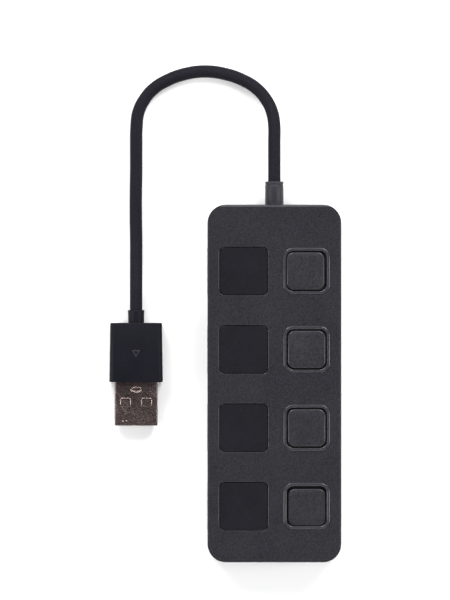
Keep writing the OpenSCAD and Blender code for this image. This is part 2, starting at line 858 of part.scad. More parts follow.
top_cover();
bottom_cover();
cover_screws();
circuit_board();
for (i = [1 : rows]) {
    port_shell(i);
    port_tongue(i);
    port_contacts(i);
    status_window(i);
    status_led(i);
    button_cap(i);
    switch_plunger(i);
    switch_body(i);
    switch_spring(i);
}
switch_legs();
hub_chip();
chip_legs();
crystal();
bulk_capacitor();
capacitors();
resistors();
cable_gland();
cable_tail();
cable();
lead_power();
lead_data_minus();
lead_data_plus();
lead_ground();
plug_overmold();
plug_shell();
plug_insulator();
plug_contacts();
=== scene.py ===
import bpy
import bmesh
from math import radians, pi, cos, sin
from mathutils import Vector, Matrix, geometry


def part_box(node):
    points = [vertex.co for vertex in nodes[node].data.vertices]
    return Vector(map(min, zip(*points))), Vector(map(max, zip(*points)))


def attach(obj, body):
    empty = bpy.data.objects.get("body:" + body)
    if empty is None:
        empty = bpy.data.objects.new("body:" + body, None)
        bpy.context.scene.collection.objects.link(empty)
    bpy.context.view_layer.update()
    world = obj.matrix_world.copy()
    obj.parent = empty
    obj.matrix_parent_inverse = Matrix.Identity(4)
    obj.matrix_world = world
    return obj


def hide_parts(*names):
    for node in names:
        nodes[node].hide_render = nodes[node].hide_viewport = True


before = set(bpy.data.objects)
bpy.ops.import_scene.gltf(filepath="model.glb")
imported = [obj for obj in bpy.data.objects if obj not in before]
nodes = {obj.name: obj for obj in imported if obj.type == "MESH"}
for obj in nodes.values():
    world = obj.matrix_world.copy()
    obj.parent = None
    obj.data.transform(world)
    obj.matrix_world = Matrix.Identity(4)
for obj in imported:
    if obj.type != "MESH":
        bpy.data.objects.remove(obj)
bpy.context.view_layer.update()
scene = bpy.context.scene
scene.view_settings.view_transform = "Standard"
mm = 0.001


def toLinear(value):
    value = value / 255
    return value / 12.92 if value <= 0.04045 else ((value + 0.055) / 1.055) ** 2.4


def tone(red, green, blue):
    return (toLinear(red), toLinear(green), toLinear(blue), 1.0)


# straight above the hub, from so far that the view is nearly parallel
cameraLook = {"x": -13.8, "y": 23.3, "plane": 12.0, "distance": 3000.0, "frameTall": 167.7}

cameraData = bpy.data.cameras.new("overheadCamera")
cameraData.lens = cameraData.sensor_width * cameraLook["distance"] / cameraLook["frameTall"]
cameraData.clip_end = 40
camera = bpy.data.objects.new("overheadCamera", cameraData)
camera.location = (cameraLook["x"] * mm, cameraLook["y"] * mm, (cameraLook["plane"] + cameraLook["distance"]) * mm)
scene.collection.objects.link(camera)
scene.camera = camera
print("camera placed")


# the free lead, from the strain relief to the plug's boot
lead = {"diameter": 3.5, "length": 121.0, "seamZ": 7.05, "lieZ": 1.8, "plugZ": 4.0, "smooth": 6}
seam, lie, plug = lead["seamZ"], lead["lieZ"], lead["plugZ"]
leadRoute = [
    [0, 56.5, seam], [0, 60, seam], [0, 64, 6.7], [0, 68, 6.2], [0, 72, 5.5], [-0.6, 75.9, 4.8],
    [-2.3, 79.5, 4], [-5, 82.6, 3.3], [-8.7, 84.9, 2.7], [-13.4, 86.6, 2.2], [-19.4, 87.4, 1.9],
    [-25.4, 86.6, lie], [-30, 84.9, lie], [-33.7, 82.6, lie], [-36.4, 79.5, lie], [-38.1, 75.9, lie],
    [-38.6, 72, lie], [-38.7, 66, lie], [-38.7, 60, lie], [-38.8, 53, lie], [-38.8, 46, lie],
    [-38.7, 40, 1.9], [-38.7, 35, 2.4], [-38.7, 30, 3.2], [-38.7, 25.5, plug], [-38.7, 20.5, plug],
]


# the round jacket, swept along a smooth line through the route's points
def makeLead():
    data = bpy.data.curves.new("leadLine", "CURVE")
    data.dimensions = "3D"
    data.bevel_depth = lead["diameter"] / 2 * mm
    data.bevel_resolution = 8
    data.resolution_u = lead["smooth"]
    data.use_fill_caps = True
    spline = data.splines.new("BEZIER")
    spline.bezier_points.add(len(leadRoute) - 1)
    for point, place in zip(spline.bezier_points, leadRoute):
        point.co = [value * mm for value in place]
        point.handle_left_type = "AUTO"
        point.handle_right_type = "AUTO"
    line = bpy.data.objects.new("leadLine", data)
    scene.collection.objects.link(line)
    bpy.context.view_layer.update()
    path = []
    points = spline.bezier_points
    for start, end in zip(points, points[1:]):
        path += geometry.interpolate_bezier(start.co, start.handle_right, end.handle_left, end.co, lead["smooth"] + 1)[:-1]
    path.append(points[-1].co.copy())
    mesh = bpy.data.meshes.new_from_object(line.evaluated_get(bpy.context.evaluated_depsgraph_get()))
    bpy.data.objects.remove(line)
    mesh.name = "hubLead"
    mesh.shade_smooth()
    mesh.set_sharp_from_angle(angle=radians(50))
    piece = bpy.data.objects.new("hubLead", mesh)
    scene.collection.objects.link(piece)
    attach(piece, "root")
    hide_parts("cable")
    return piece, [list(place) for place in path]


hubLead, leadPath = makeLead()
print("lead laid")


def newFinish(name):
    finish = bpy.data.materials.new(name)
    finish.use_nodes = True
    tree = finish.node_tree
    shader = tree.nodes["Principled BSDF"]
    place = tree.nodes.new("ShaderNodeTexCoord")
    return finish, tree, shader, place.outputs["Object"]


def addNoise(tree, coords, size, detail=3.0, roughness=0.55, stretch=None):
    if stretch:
        turn = tree.nodes.new("ShaderNodeMapping")
        turn.inputs["Scale"].default_value = stretch
        tree.links.new(coords, turn.inputs["Vector"])
        coords = turn.outputs["Vector"]
    noise = tree.nodes.new("ShaderNodeTexNoise")
    noise.inputs["Scale"].default_value = 1 / size
    noise.inputs["Detail"].default_value = detail
    noise.inputs["Roughness"].default_value = roughness
    tree.links.new(coords, noise.inputs["Vector"])
    return noise.outputs["Fac"]


def addRange(tree, value, low, high, toLow, toHigh):
    span = tree.nodes.new("ShaderNodeMapRange")
    for socket, number in zip(("From Min", "From Max", "To Min", "To Max"), (low, high, toLow, toHigh)):
        span.inputs[socket].default_value = number
    tree.links.new(value, span.inputs["Value"])
    return span.outputs["Result"]


def addMix(tree, factor, first, second, blend="MIX"):
    mix = tree.nodes.new("ShaderNodeMix")
    mix.data_type = "RGBA"
    mix.blend_type = blend
    for socket, value in ((mix.inputs[0], factor), (mix.inputs[6], first), (mix.inputs[7], second)):
        if isinstance(value, bpy.types.NodeSocket):
            tree.links.new(value, socket)
        else:
            socket.default_value = value
    return mix.outputs[2]


# soft normal over the edges, and how near a point is to one
def addEdges(tree, radius):
    soft = tree.nodes.new("ShaderNodeBevel")
    soft.samples = 6
    soft.inputs["Radius"].default_value = radius
    flat = tree.nodes.new("ShaderNodeNewGeometry")
    dot = tree.nodes.new("ShaderNodeVectorMath")
    dot.operation = "DOT_PRODUCT"
    tree.links.new(soft.outputs["Normal"], dot.inputs[0])
    tree.links.new(flat.outputs["Normal"], dot.inputs[1])
    return soft.outputs["Normal"], addRange(tree, dot.outputs["Value"], 0.98, 0.75, 0.0, 1.0)


def shaded(colour, share):
    return [min(1.0, part * share) for part in colour[:3]] + [1]


# moulded plastic, rubber or plated metal: fine mottle, slow drift, paler edges
def mouldedFinish(name, look):
    finish, tree, shader, coords = newFinish(name)
    grain = addNoise(tree, coords, look["grain"] * mm, 4.0, 0.6, look.get("stretch"))
    cloud = addNoise(tree, coords, look.get("cloud", 9.0) * mm, 2.0)
    base = look["colour"]
    dark, light = (shaded(base, 1 + share * look["mottle"]) for share in (-1, 1))
    colour = addMix(tree, addRange(tree, grain, 0.3, 0.7, 0.0, 1.0), dark, light)
    drift = look.get("drift", 0.08)
    tint = addRange(tree, cloud, 0.3, 0.7, 1 - drift, 1 + drift)
    both = tree.nodes.new("ShaderNodeVectorMath")
    both.operation = "SCALE"
    tree.links.new(colour, both.inputs[0])
    tree.links.new(tint, both.inputs["Scale"])
    normal, edge = addEdges(tree, look.get("edge", 0.12) * mm)
    worn = shaded(base, 1 + look.get("wear", 0.5))
    patchy = tree.nodes.new("ShaderNodeMath")
    patchy.operation = "MULTIPLY"
    tree.links.new(edge, patchy.inputs[0])
    tree.links.new(addRange(tree, addNoise(tree, coords, 1.3 * mm), 0.35, 0.6, 0.35, 1.0), patchy.inputs[1])
    tree.links.new(addMix(tree, patchy.outputs["Value"], both.outputs["Vector"], worn), shader.inputs["Base Color"])
    rough = look["rough"]
    tree.links.new(addRange(tree, cloud, 0.25, 0.75, rough - look.get("polish", 0.05), rough + look.get("polish", 0.05)),
                   shader.inputs["Roughness"])
    bump = tree.nodes.new("ShaderNodeBump")
    bump.inputs["Strength"].default_value = look.get("bump", 0.4)
    bump.inputs["Distance"].default_value = look.get("depth", 0.02) * mm
    tree.links.new(grain, bump.inputs["Height"])
    tree.links.new(normal, bump.inputs["Normal"])
    tree.links.new(bump.outputs["Normal"], shader.inputs["Normal"])
    shader.inputs["Metallic"].default_value = look.get("metal", 0.0)
    shader.inputs["Specular IOR Level"].default_value = look.get("shine", 0.5)
    if look.get("coat"):
        shader.inputs["Coat Weight"].default_value = look["coat"]
        shader.inputs["Coat Roughness"].default_value = look.get("coatRough", 0.1)
    return finish


finishes = {
    "housing": {"colour": tone(31, 30.3, 35.8), "rough": 0.46, "grain": 0.32, "mottle": 0.85, "drift": 0.03, "depth": 0.03,
                "shine": 0.2, "wear": 0.5, "edge": 0.16},
    # glossier copy of the housing finish; its lighter colour is a painted highlight
    "rim": {"colour": tone(42, 41, 47), "rough": 0.22, "grain": 0.3, "mottle": 0.3, "drift": 0.03, "depth": 0.008,
            "shine": 0.6, "edge": 0.1},
    "button": {"colour": tone(32, 31.2, 36.8), "rough": 0.36, "grain": 0.32, "mottle": 0.85, "drift": 0.03, "depth": 0.02,
               "shine": 0.42, "wear": 0.7, "edge": 0.08},
    "window": {"colour": tone(23.5, 22.8, 28), "rough": 0.2, "grain": 0.5, "mottle": 0.2, "depth": 0.004, "shine": 0.2,
               "coat": 0.15},
    "jacket": {"colour": tone(25, 24.3, 30.5), "rough": 0.6, "shine": 0.06, "grain": 0.32, "mottle": 0.5, "depth": 0.01},
    "gland": {"colour": tone(40.5, 39.5, 46), "rough": 0.42, "shine": 0.22, "grain": 0.4, "mottle": 0.15, "depth": 0.01},
    "grip": {"colour": tone(17, 16.5, 24), "rough": 0.45, "shine": 0.1, "grain": 0.3, "mottle": 0.35, "depth": 0.01},
    "plug_steel": {"colour": tone(86, 75.5, 74.5), "rough": 0.38, "grain": 0.36, "mottle": 0.75, "metal": 1.0, "depth": 0.03,
                   "wear": 0.3},
    "socket_steel": {"colour": tone(178, 174, 170), "rough": 0.28, "grain": 0.3, "mottle": 0.08, "metal": 1.0,
                     "depth": 0.006, "stretch": (1, 1, 6)},
    "screw_steel": {"colour": tone(150, 148, 146), "rough": 0.32, "grain": 0.2, "mottle": 0.1, "metal": 1.0, "depth": 0.006},
    "contact_plating": {"colour": tone(214, 178, 96), "rough": 0.25, "grain": 0.2, "mottle": 0.08, "metal": 1.0,
                        "depth": 0.004},
    "socket_insulator": {"colour": tone(26, 26, 28), "rough": 0.4, "grain": 0.3, "mottle": 0.1, "depth": 0.01},
    "plug_insulator": {"colour": tone(206, 204, 200), "rough": 0.5, "grain": 0.3, "mottle": 0.05, "depth": 0.01,
                       "wear": 0.1},
    "board": {"colour": tone(24, 88, 46), "rough": 0.35, "grain": 0.5, "mottle": 0.2, "depth": 0.02, "wear": 0.3},
    "chip_case": {"colour": tone(34, 34, 36), "rough": 0.55, "grain": 0.12, "mottle": 0.2, "depth": 0.02},
    "can": {"colour": tone(190, 190, 192), "rough": 0.3, "grain": 0.3, "mottle": 0.06, "metal": 1.0, "depth": 0.006},
    "ceramic": {"colour": tone(150, 120, 90), "rough": 0.5, "grain": 0.1, "mottle": 0.12, "depth": 0.01},
    "resistor_black": {"colour": tone(22, 22, 24), "rough": 0.5, "grain": 0.1, "mottle": 0.15, "depth": 0.01},
    "tin": {"colour": tone(205, 205, 200), "rough": 0.35, "grain": 0.15, "mottle": 0.08, "metal": 1.0, "depth": 0.008},
    "switch_stem": {"colour": tone(222, 220, 212), "rough": 0.45, "grain": 0.3, "mottle": 0.05, "depth": 0.01, "wear": 0.1},
    "switch_case": {"colour": tone(60, 60, 64), "rough": 0.45, "grain": 0.25, "mottle": 0.12, "depth": 0.015},
    "spring_steel": {"colour": tone(180, 180, 182), "rough": 0.25, "grain": 0.1, "mottle": 0.08, "metal": 1.0,
                     "depth": 0.003},
    "lamp": {"colour": tone(150, 200, 150), "rough": 0.25, "grain": 0.4, "mottle": 0.06, "depth": 0.004, "wear": 0.1},
    "wire_red": {"colour": tone(170, 28, 24), "rough": 0.45, "grain": 0.2, "mottle": 0.1, "depth": 0.008},
    "wire_white": {"colour": tone(215, 215, 210), "rough": 0.45, "grain": 0.2, "mottle": 0.06, "depth": 0.008, "wear": 0.1},
    "wire_green": {"colour": tone(28, 120, 52), "rough": 0.45, "grain": 0.2, "mottle": 0.1, "depth": 0.008},
    "wire_black": {"colour": tone(24, 24, 26), "rough": 0.45, "grain": 0.2, "mottle": 0.12, "depth": 0.008},
}
materials = {slot: mouldedFinish(slot + "Finish", look) for slot, look in finishes.items()}


# dull plated steel with bright specks, which are painted glints, and a few fine scratches over it
def scuffedGlintSteel(look):
    finish = mouldedFinish("plugShellFinish", finishes["plug_steel"])
    tree = finish.node_tree
    shader = tree.nodes["Principled BSDF"]
    coords = next(node for node in tree.nodes if node.type == "TEX_COORD").outputs["Object"]
    base = shader.inputs["Base Color"].links[0].from_socket
    low = look["speckFrom"]
    glintSpecks = addRange(tree, addNoise(tree, coords, look["speckSize"] * mm, 1.0, 0.4), low, low + 0.08, 0.0, 1.0)
    where = addRange(tree, addNoise(tree, coords, look["patch"] * mm, 1.0), 0.42, 0.62, 0.25, 1.0)
    shown = tree.nodes.new("ShaderNodeMath")
    shown.operation = "MULTIPLY"
    tree.links.new(glintSpecks, shown.inputs[0])
    tree.links.new(where, shown.inputs[1])
    bright = addMix(tree, shown.outputs["Value"], base, look["glintAndScratch"])
    turn = tree.nodes.new("ShaderNodeMapping")
    turn.vector_type = "TEXTURE"
    turn.inputs["Rotation"].default_value = (0, 0, radians(look["scratchTurn"]))
    turn.inputs["Scale"].default_value = (1, 30, 1)
    tree.links.new(coords, turn.inputs["Vector"])
    lines = addRange(tree, addNoise(tree, turn.outputs["Vector"], look["scratch"] * mm, 1.0), 0.68, 0.72, 0.0, 0.4)
    tree.links.new(addMix(tree, lines, bright, look["glintAndScratch"]), shader.inputs["Base Color"])
    return finish


# the bright colour serves both the painted glints and the scratches
glintsAndScuffs = {"speckSize": 0.3, "speckFrom": 0.64, "patch": 3.2, "glintAndScratch": tone(190, 172, 166), "scratchTurn": 42,
          "scratch": 0.34}
# much lighter, glossier steel for the pressed lips on the plug shell: the lighter colour is a painted highlight
lipHighlightSteel = {"colour": tone(170, 152, 146), "rough": 0.2, "grain": 0.2, "mottle": 0.15, "metal": 1.0, "depth": 0.01,
            "edge": 0.05}
materials["plug_steel"] = scuffedGlintSteel(glintsAndScuffs)
materials["plug_rim"] = mouldedFinish("plugRimFinish", lipHighlightSteel)


def dress(piece, slot):
    piece.data.materials.clear()
    piece.data.materials.append(materials[slot])


slotOf = {name: piece.data.materials[0].name.split(".")[0] for name, piece in nodes.items()}
for name, piece in nodes.items():
    dress(piece, slotOf[name])
dress(hubLead, "jacket")
print("finishes mixed")


# one flat face with round corners, on z = 0
def roundedFace(bm, wide, tall, corner, steps=6):
    bmesh.ops.create_circle(bm, cap_ends=True, segments=4 * steps, radius=corner * mm)
    bmesh.ops.rotate(bm, verts=bm.verts, cent=(0, 0, 0), matrix=Matrix.Rotation(pi / (4 * steps), 3, "Z"))
    for vert in bm.verts:
        vert.co.x += (wide / 2 - corner) * mm * (1 if vert.co.x > 0 else -1)
        vert.co.y += (tall / 2 - corner) * mm * (1 if vert.co.y > 0 else -1)
    spread = corner * (1 - cos(pi / (4 * steps)))
    bmesh.ops.scale(bm, vec=(wide / (wide - 2 * spread), tall / (tall - 2 * spread), 1), verts=bm.verts)
    bm.normal_update()
    return bm.faces[:][0]


# raises a face as the next step, drawn in by a distance on every side
def stepUp(bm, face, inward, rise):
    made = bmesh.ops.extrude_face_region(bm, geom=[face])
    bmesh.ops.delete(bm, geom=[face], context="FACES_ONLY")
    face = next(f for f in made["geom"] if isinstance(f, bmesh.types.BMFace))
    spans = [max(v.co[axis] for v in face.verts) - min(v.co[axis] for v in face.verts) for axis in (0, 1)]
    bmesh.ops.scale(bm, vec=[1 - 2 * inward * mm / span for span in spans] + [1], verts=face.verts)
    bmesh.ops.translate(bm, verts=face.verts, vec=(0, 0, rise * mm))
    return face


def settle(bm, name, slot, body="root", stands=(), smooth=35):
    bmesh.ops.remove_doubles(bm, verts=bm.verts, dist=1e-7)
    bmesh.ops.recalc_face_normals(bm, faces=bm.faces)
    mesh = bpy.data.meshes.new(name)
    bm.to_mesh(mesh)
    bm.free()
    mesh.shade_smooth()
    mesh.set_sharp_from_angle(angle=radians(smooth))
    piece = bpy.data.objects.new(name, mesh)
    scene.collection.objects.link(piece)
    dress(piece, slot)
    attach(piece, body)
    if stands:
        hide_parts(*stands)
    return piece


# cuts each cutter's shape out of the piece, then drops the cutters
def cutOut(piece, cutters):
    for cutter in cutters:
        cut = piece.modifiers.new("cut", "BOOLEAN")
        cut.operation = "DIFFERENCE"
        cut.solver = "EXACT"
        cut.object = cutter
    bpy.context.view_layer.update()
    ready = bpy.data.meshes.new_from_object(piece.evaluated_get(bpy.context.evaluated_depsgraph_get()))
    piece.modifiers.clear()
    piece.data = ready
    for cutter in cutters:
        bpy.data.objects.remove(cutter)
    ready.shade_smooth()
    ready.set_sharp_from_angle(angle=radians(35))


def loose(bm, name):
    bmesh.ops.recalc_face_normals(bm, faces=bm.faces)
    mesh = bpy.data.meshes.new(name)
    bm.to_mesh(mesh)
    bm.free()
    piece = bpy.data.objects.new(name, mesh)
    scene.collection.objects.link(piece)
    return piece


def middleOf(name):
    low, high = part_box(name)
    return (low + high) / 2, low, high


# the rims round the buttons are rolled over, the edges of the window recesses less so
coverLook = {"rimRoll": 0.26, "rimSteps": 4, "recessRoll": 0.1, "recessSteps": 2, "recessReach": 7.4,
             "flatFrom": 20}


def makeCover():
    low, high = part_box("top_cover")
    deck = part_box("status_window_1")[1].z + 0.3 * mm
    places = [middleOf("status_window_%d" % row)[0] for row in range(1, 5)]
    bm = bmesh.new()
    bm.from_mesh(nodes["top_cover"].data)
    bmesh.ops.remove_doubles(bm, verts=bm.verts, dist=0.002 * mm)
    bmesh.ops.dissolve_limit(bm, angle_limit=radians(1), verts=bm.verts, edges=bm.edges, delimit=set())

    def lies(edge, height):
        return all(abs(v.co.z - height) < 0.02 * mm for v in edge.verts) and len(edge.link_faces) == 2

    def nearWindow(place):
        reach = coverLook["recessReach"] * mm
        return any(abs(place.x - at.x) < reach and abs(place.y - at.y) < reach for at in places)

    rims = [e for e in bm.edges if lies(e, high.z) and e.calc_face_angle(0) > 0.5]
    bmesh.ops.bevel(bm, geom=rims, offset=coverLook["rimRoll"] * mm, offset_type="OFFSET", segments=coverLook["rimSteps"],
                    profile=0.5, affect="EDGES", material=-1, clamp_overlap=True)
    recesses = [e for e in bm.edges if lies(e, deck) and e.calc_face_angle(0) > 0.5 and
                nearWindow((e.verts[0].co + e.verts[1].co) / 2)]
    bmesh.ops.bevel(bm, geom=recesses, offset=coverLook["recessRoll"] * mm, offset_type="OFFSET",
                    segments=coverLook["recessSteps"], profile=0.5, affect="EDGES", material=-1, clamp_overlap=True)
    print("cover edges rolled", len(rims), len(recesses))
    piece = settle(bm, "deckCover", "housing", "root", ["top_cover"])
    piece.data.materials.append(materials["rim"])
    # the raised rims round the buttons, the back edge facing the key lights and the rolled window recess edges take the
    # second, lighter finish: a painted highlight
    for face in piece.data.polygons:
        place, tilt = face.center, face.normal
        above = place.z > deck + 0.02 * mm
        backHighlight = tilt.y > 0.25 and tilt.z > 0.15 and place.y > high.y - 4 * mm and place.z > deck - 2 * mm
        rolled = abs(tilt.z) < 0.98 and place.z > deck - 0.35 * mm and nearWindow(place)
        face.use_smooth = face.area < coverLook["flatFrom"] * mm * mm
        face.material_index = 1 if above or backHighlight or rolled else 0
    return piece


makeCover()


capLook = {"wide": 10.42, "corner": 1.55, "flange": 12.2, "flangeCorner": 2.2, "flangeThick": 0.8,
           "roundOver": [(0.02, 0.14), (0.04, 0.09), (0.07, 0.06), (0.11, 0.03)], "dish": [(1.2, 0.012), (1.4, 0.006)],
           "lean": [(-0.3, 0), (0, 0), (0, 0), (0.1, -0.35)]}


def makeCap(row):
    name = "button_cap_%d" % row
    middle, low, high = middleOf(name)
    look = capLook
    bm = bmesh.new()
    face = roundedFace(bm, look["flange"], look["flange"], look["flangeCorner"], 8)
    face = stepUp(bm, face, 0, look["flangeThick"])
    face = stepUp(bm, face, (look["flange"] - look["wide"]) / 2, 0.02)
    rounding = sum(rise for inward, rise in look["roundOver"] + look["dish"])
    face = stepUp(bm, face, 0, (high.z - low.z) / mm - look["flangeThick"] - 0.02 - rounding)
    for inward, rise in look["roundOver"] + look["dish"]:
        face = stepUp(bm, face, inward, rise)
    leanX, leanY = look["lean"][row - 1]
    upper = [v for v in bm.verts if v.co.z > (look["flangeThick"] + 0.01) * mm]
    bmesh.ops.translate(bm, verts=upper, vec=(leanX * mm, leanY * mm, 0))
    bmesh.ops.translate(bm, verts=bm.verts, vec=(middle.x, middle.y, low.z))
    piece = settle(bm, "cap_%d" % row, "button", "button_%d" % row, [name])
    piece.data.materials.append(materials["rim"])
    # the cap's rounded top edges take the second, lighter finish: a painted highlight for the corner glints
    for face in piece.data.polygons:
        if high.z - 0.4 * mm < face.center.z and abs(face.normal.z) < 0.96:
            face.material_index = 1
    return piece


for row in range(1, 5):
    makeCap(row)
print("caps made")


windowLook = {"corner": 1.65, "chamfer": [(0.05, 0.1), (0.07, 0.06), (0.1, 0.03)],
              "crown": [(0.2, 0.008), (1.5, 0.02), (2.5, 0.02)]}


def makeWindow(row):
    name = "status_window_%d" % row
    middle, low, high = middleOf(name)
    look = windowLook
    bm = bmesh.new()
    face = roundedFace(bm, (high.x - low.x) / mm, (high.y - low.y) / mm, look["corner"], 8)
    rounding = sum(rise for inward, rise in look["chamfer"] + look["crown"])
    face = stepUp(bm, face, 0, (high.z - low.z) / mm - rounding)
    for inward, rise in look["chamfer"] + look["crown"]:
        face = stepUp(bm, face, inward, rise)
    bmesh.ops.translate(bm, verts=bm.verts, vec=(middle.x, middle.y, low.z))
    return settle(bm, "lens_%d" % row, "window", "root", [name])


for row in range(1, 5):
    makeWindow(row)
print("windows made")


glandLook = {"bore": 1.78, "steps": 48,
             "profile": [(3.4, -3.1), (3.4, -1.6), (2.2, -1.6), (2.2, 0), (2.66, 0), (2.62, 0.2), (2.61, 0.9), (2.6, 2.2),
                         (2.58, 4.0), (2.57, 5.3), (2.55, 5.42), (2.49, 5.5), (2.49, 5.62), (2.56, 5.7), (2.57, 6.2),
                         (2.53, 6.38), (2.42, 6.48), (2.1, 6.5)]}


# turns a closed profile of (radius, height) about Z
def turned(profile, bore, steps):
    bm = bmesh.new()
    points = [(bore, profile[0][1])] + list(profile) + [(bore, profile[-1][1])]
    ring = [bm.verts.new((radius * mm, 0, height * mm)) for radius, height in points]
    edges = [bm.edges.new(pair) for pair in zip(ring, ring[1:] + ring[:1])]
    bmesh.ops.spin(bm, geom=ring + edges, cent=(0, 0, 0), axis=(0, 0, 1), angle=2 * pi, steps=steps, use_merge=True,
                   use_duplicate=False)
    return bm


def makeGland():
    middle, low, high = middleOf("cable_gland")
    bm = turned(glandLook["profile"], glandLook["bore"], glandLook["steps"])
    bmesh.ops.rotate(bm, verts=bm.verts, cent=(0, 0, 0), matrix=Matrix.Rotation(-pi / 2, 3, "X"))
    bmesh.ops.translate(bm, verts=bm.verts, vec=(middle.x, high.y - 6.5 * mm, middle.z))
    return settle(bm, "leadSleeve", "gland", "root", ["cable_gland"], 50)


leadSleeve = makeGland()
print("strain relief turned")


gripLook = {"rear": 14.5, "front": 15.0, "long": 16.6, "tall": 8.0, "side": 1.3, "end": 0.3, "boot": 3.6,
            "bootProfile": [(2.24, -0.3), (2.24, 0.5), (2.26, 1.6), (2.28, 2.6), (2.31, 2.9), (2.33, 3.3), (2.29, 3.48),
                            (2.2, 3.57), (2.0, 3.6)]}


def makeGrip():
    middle, low, high = middleOf("plug_overmold")
    look = gripLook
    bm = bmesh.new()
    bmesh.ops.create_cube(bm, size=1)
    bmesh.ops.scale(bm, vec=(look["rear"] * mm, look["long"] * mm, look["tall"] * mm), verts=bm.verts)
    longEdges = [e for e in bm.edges if abs(e.verts[0].co.y - e.verts[1].co.y) > mm]
    bmesh.ops.bevel(bm, geom=longEdges, offset=look["side"] * mm, offset_type="OFFSET", segments=6, profile=0.5,
                    affect="EDGES", material=-1, clamp_overlap=True)
    ends = [e for e in bm.edges if e.calc_face_angle(0) > 1.2]
    bmesh.ops.bevel(bm, geom=ends, offset=look["end"] * mm, offset_type="OFFSET", segments=4, profile=0.5,
                    affect="EDGES", material=-1, clamp_overlap=True)
    flare = look["front"] / look["rear"] - 1
    for vert in bm.verts:
        share = 0.5 - vert.co.y / (look["long"] * mm)
        vert.co.x *= 1 + flare * (share * 0.4 + 0.6 * share ** 3)
    bmesh.ops.translate(bm, verts=bm.verts, vec=(middle.x, low.y + look["long"] / 2 * mm, middle.z))
    boot = turned(look["bootProfile"], 1.78, 40)
    bmesh.ops.rotate(boot, verts=boot.verts, cent=(0, 0, 0), matrix=Matrix.Rotation(-pi / 2, 3, "X"))
    bmesh.ops.translate(boot, verts=boot.verts, vec=(middle.x, high.y - look["boot"] * mm, middle.z))
    bmesh.ops.recalc_face_normals(boot, faces=boot.faces)
    part = bpy.data.meshes.new("bootPart")
    boot.to_mesh(part)
    boot.free()
    bm.from_mesh(part)
    return settle(bm, "plugGrip", "grip", "root", ["plug_overmold"])


arrowLook = {"reach": 1.35, "wall": 0.28, "rise": 0.07}


# a plain raised triangle that tells the plug's upper side
def makeArrow():
    middle, low, high = middleOf("plug_overmold")
    look = arrowLook
    bm = bmesh.new()
    bmesh.ops.create_circle(bm, cap_ends=True, segments=3, radius=look["reach"] * mm)
    bmesh.ops.rotate(bm, verts=bm.verts, cent=(0, 0, 0), matrix=Matrix.Rotation(pi, 3, "Z"))
    bm.normal_update()
    made = bmesh.ops.inset_individual(bm, faces=bm.faces[:], thickness=look["wall"] * mm, depth=0, use_even_offset=True)
    inner = [f for f in bm.faces if f not in made["faces"]]
    bmesh.ops.delete(bm, geom=inner, context="FACES")
    made = bmesh.ops.extrude_face_region(bm, geom=bm.faces[:])
    raised = [part for part in made["geom"] if isinstance(part, bmesh.types.BMVert)]
    bmesh.ops.translate(bm, verts=raised, vec=(0, 0, look["rise"] * mm))
    bmesh.ops.translate(bm, verts=bm.verts, vec=(middle.x, low.y + gripLook["long"] / 2 * mm, high.z - 0.01 * mm))
    piece = settle(bm, "gripArrow", "grip")
    # the raised arrow takes the lighter finish, a painted highlight
    piece.data.materials[0] = materials["rim"]
    return piece


plugLook = {"wall": 0.3, "corner": 0.5, "tip": 0.28, "window": (3.0, 2.4), "windowX": 2.95, "windowY": 5.7, "pocket": 0.2,
            "bead": 0.13, "glintDents": [(-3.7, 1.3), (-2.7, 1.4)], "dimple": (1.45, 0.74, 0.3), "dimpleY": 2.1, "outside": 12.2,
            "flatFrom": 0.6}


def cutterBlock(name, wide, long, tall, corner, place):
    bm = bmesh.new()
    bmesh.ops.create_cube(bm, size=1)
    bmesh.ops.scale(bm, vec=(wide * mm, long * mm, tall * mm), verts=bm.verts)
    upright = [e for e in bm.edges if abs(e.verts[0].co.z - e.verts[1].co.z) > 0.01 * mm]
    bmesh.ops.bevel(bm, geom=upright, offset=corner * mm, offset_type="OFFSET", segments=5, profile=0.5, affect="EDGES",
                    material=-1, clamp_overlap=True)
    bmesh.ops.translate(bm, verts=bm.verts, vec=place)
    return loose(bm, name)


# a line of (x, y, share of the bead's thickness): three sides of a window, fading down the two upright ones
def archLine(wide, long, corner):
    line = [(-wide / 2, -0.35 * long, 0.15), (-wide / 2, -0.05 * long, 0.6), (-wide / 2, long / 2 - corner, 0.9)]
    turn = [(cos(pi / 2 * k / 5), sin(pi / 2 * k / 5)) for k in range(1, 6)]
    line += [(-wide / 2 + corner * (1 - c), long / 2 - corner * (1 - s), 1) for c, s in turn]
    return line + [(-x, y, share) for x, y, share in reversed(line)]


def ovalLine(halfWide, halfLong):
    turn = [2 * pi * k / 28 for k in range(29)]
    return [(halfWide * cos(a), halfLong * sin(a), 0.75 + 0.35 * abs(sin(a))) for a in turn]


# a thin pressed lip that follows the line, half sunk in the sheet; its faces take the second, lighter steel, a painted
# highlight
def addBead(bm, line, radius, place):
    sides = 8
    rings = []
    for k, (x, y, share) in enumerate(line):
        before, after = line[max(k - 1, 0)], line[min(k + 1, len(line) - 1)]
        if line[0][:2] == line[-1][:2] and k in (0, len(line) - 1):
            before, after = line[-2], line[1]
        along = Vector((after[0] - before[0], after[1] - before[1], 0)).normalized()
        across = Vector((-along.y, along.x, 0))
        ring = []
        for step in range(sides):
            angle = 2 * pi * step / sides
            lift = across * cos(angle) + Vector((0, 0, 1)) * sin(angle)
            ring.append(bm.verts.new(Vector(place) + Vector((x, y, 0)) * mm + lift * radius * share * mm))
        rings.append(ring)
    for one, two in zip(rings, rings[1:]):
        for step in range(sides):
            face = bm.faces.new((one[step], one[(step + 1) % sides], two[(step + 1) % sides], two[step]))
            face.material_index = 1
            face.smooth = True


